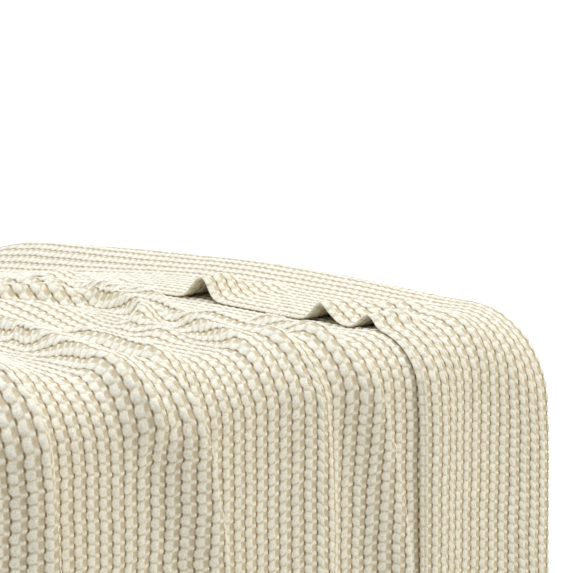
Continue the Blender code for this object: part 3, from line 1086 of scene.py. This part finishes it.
class WAFFLE_OT_add_blanket(bpy.types.Operator):
    """Adds the blanket: woven panels that meet at the gaps between columns, and the hidden faces"""

    bl_idname = "waffle.add_blanket"
    bl_label = "Add Blanket"

    def execute(self, context):
        cloth = context.scene.waffle_cloth
        cotton = cotton_material(cloth)
        drape = drawn_in()
        for name, first, last, fine_from, fine_to, sparse, face in PANELS:
            along = lines_along(first, last, sparse, backwards=face < 0)
            across = lines_across(fine_from, fine_to)
            lowest = SPARSE_LOWEST if sparse else -math.inf
            piece = woven_panel(name, drape, along, across, face, cloth.relief, lowest, cotton)
            finish_piece(piece, ["blanket"])
        edge = CLOTH_WIDTH / 2 - HIDDEN_MARGIN
        rows = np.linspace(-edge, edge, UNDER_ROWS)
        near_rows = np.linspace(-edge, edge, INSIDE_ROWS)
        under = -TURN_BACK + COLUMN_PITCH * np.arange(STRIP_END, COLUMNS)
        under = np.append(under, CLOTH_LENGTH - TURN_BACK - HIDDEN_MARGIN)
        before, bend, after = BEND_POINTS
        inner = np.concatenate(
            [
                np.linspace(-TURN_BACK + HIDDEN_MARGIN, -BEND_REACH, before),
                np.linspace(-BEND_REACH, BEND_REACH, bend)[1:],
                np.linspace(BEND_REACH, -TURN_BACK + LOWER_START * COLUMN_PITCH, after)[1:],
            ]
        )
        for name, places, across, face in (
            ("blanket_underside", under, rows, 1),
            ("blanket_inside_the_fold", inner, near_rows, -1),
        ):
            piece = plain_panel(name, drape, places, across, face, HIDDEN_OFFSET, cotton)
            finish_piece(piece, ["blanket"])
        return {"FINISHED"}


class WAFFLE_OT_add_stage(bpy.types.Operator):
    """Adds the pale floor, the soft studio light and the camera"""

    bl_idname = "waffle.add_stage"
    bl_label = "Add Stage"

    def execute(self, context):
        stage = context.scene.waffle_stage
        self.add_floor()
        self.add_light(context, stage)
        self.add_camera(context, stage)
        return {"FINISHED"}

    def add_floor(self):
        corners = ((-1, -1, 0), (1, -1, 0), (1, 1, 0), (-1, 1, 0))
        points = FLOOR_HALF * np.array(corners)
        mesh = new_mesh("floor", points, np.array([[0, 1, 2, 3]]))
        material, tree, shader = new_material("pale_floor", roughness=0.8, sheen=0.0)
        set_inputs(shader, {"Base Color": FLOOR_COLOUR, "Emission Color": WHITE})
        path = tree.nodes.new("ShaderNodeLightPath")
        seen = math_node(tree, "MULTIPLY", path.outputs["Is Camera Ray"], FLOOR_GLOW)
        tree.links.new(seen, shader.inputs["Emission Strength"])
        add_piece("floor", mesh, material)

    def add_light(self, context, stage):
        world = bpy.data.worlds.new("white_surroundings")
        context.scene.world = world
        world.use_nodes = True
        tree = world.node_tree
        around = tree.nodes["Background"]
        set_inputs(around, {"Color": SKY_TINT, "Strength": stage.sky})
        behind = tree.nodes.new("ShaderNodeBackground")
        set_inputs(behind, {"Color": WHITE, "Strength": WHITE_STRENGTH})
        path = tree.nodes.new("ShaderNodeLightPath")
        mixed = tree.nodes.new("ShaderNodeMixShader")
        tree.links.new(path.outputs["Is Camera Ray"], mixed.inputs["Fac"])
        tree.links.new(around.outputs[0], mixed.inputs[1])
        tree.links.new(behind.outputs[0], mixed.inputs[2])
        tree.links.new(mixed.outputs[0], tree.nodes["World Output"].inputs["Surface"])
        self.add_softbox(context, stage.lamp, *OVERHEAD)
        self.add_softbox(context, stage.side_lamp, *FRONT)
        context.scene.view_settings.view_transform = "Standard"

    def add_softbox(self, context, power, name, place, target, size, tint):
        lamp = bpy.data.lights.new(name, "AREA")
        lamp.shape = "SQUARE"
        lamp.size = size
        lamp.energy = power
        lamp.color = tint
        holder = bpy.data.objects.new(name, lamp)
        aim = Vector(target) - Vector(place)
        turned = aim.to_track_quat("-Z", "Y").to_matrix().to_4x4()
        holder.matrix_world = Matrix.Translation(place) @ turned
        context.scene.collection.objects.link(holder)

    def add_camera(self, context, stage):
        yaw = math.radians(CAMERA_YAW)
        pitch = math.atan(HORIZON_ABOVE / LENS_PIXELS)
        level = np.array([math.sin(yaw), math.cos(yaw), 0.0])
        right = np.array([math.cos(yaw), -math.sin(yaw), 0.0])
        ahead = level * math.cos(pitch) - np.array([0.0, 0.0, math.sin(pitch)])
        up = np.cross(right, ahead)
        camera = bpy.data.cameras.new("camera")
        camera.sensor_width = SENSOR_WIDTH
        camera.lens = stage.lens
        camera.clip_end = VIEW_END
        holder = bpy.data.objects.new("camera", camera)
        holder.matrix_world = Matrix(
            [[right[i], up[i], -ahead[i], CAMERA_PLACE[i]] for i in range(3)] + [[0, 0, 0, 1]]
        )
        context.scene.collection.objects.link(holder)
        context.scene.camera = holder


class WAFFLE_PT_panel(bpy.types.Panel):
    """Lists the settings and the operators that add each piece"""

    bl_idname = "WAFFLE_PT_panel"
    bl_label = "Waffle Blanket"
    bl_space_type = "VIEW_3D"
    bl_region_type = "UI"
    bl_category = "Blanket"

    def draw(self, context):
        layout = self.layout
        scene = context.scene
        for settings, operator in (
            (scene.waffle_stage, WAFFLE_OT_add_stage),
            (scene.waffle_bed, WAFFLE_OT_add_base),
            (scene.waffle_bed, WAFFLE_OT_add_mattress),
            (scene.waffle_cloth, WAFFLE_OT_add_blanket),
        ):
            box = layout.box()
            for name in settings.__annotations__:
                box.prop(settings, name)
            box.operator(operator.bl_idname)


CLASSES = (
    WaffleClothSettings,
    WaffleBedSettings,
    WaffleStageSettings,
    WAFFLE_OT_add_mattress,
    WAFFLE_OT_add_base,
    WAFFLE_OT_add_blanket,
    WAFFLE_OT_add_stage,
    WAFFLE_PT_panel,
)


def register():
    for made in CLASSES:
        bpy.utils.register_class(made)
    bpy.types.Scene.waffle_cloth = bpy.props.PointerProperty(type=WaffleClothSettings)
    bpy.types.Scene.waffle_bed = bpy.props.PointerProperty(type=WaffleBedSettings)
    bpy.types.Scene.waffle_stage = bpy.props.PointerProperty(type=WaffleStageSettings)


def unregister():
    del bpy.types.Scene.waffle_stage
    del bpy.types.Scene.waffle_bed
    del bpy.types.Scene.waffle_cloth
    for made in reversed(CLASSES):
        bpy.utils.unregister_class(made)


def main():
    register()
    bpy.ops.waffle.add_stage()
    bpy.ops.waffle.add_base()
    bpy.ops.waffle.add_mattress()
    bpy.ops.waffle.add_blanket()


if __name__ == "__main__":
    main()
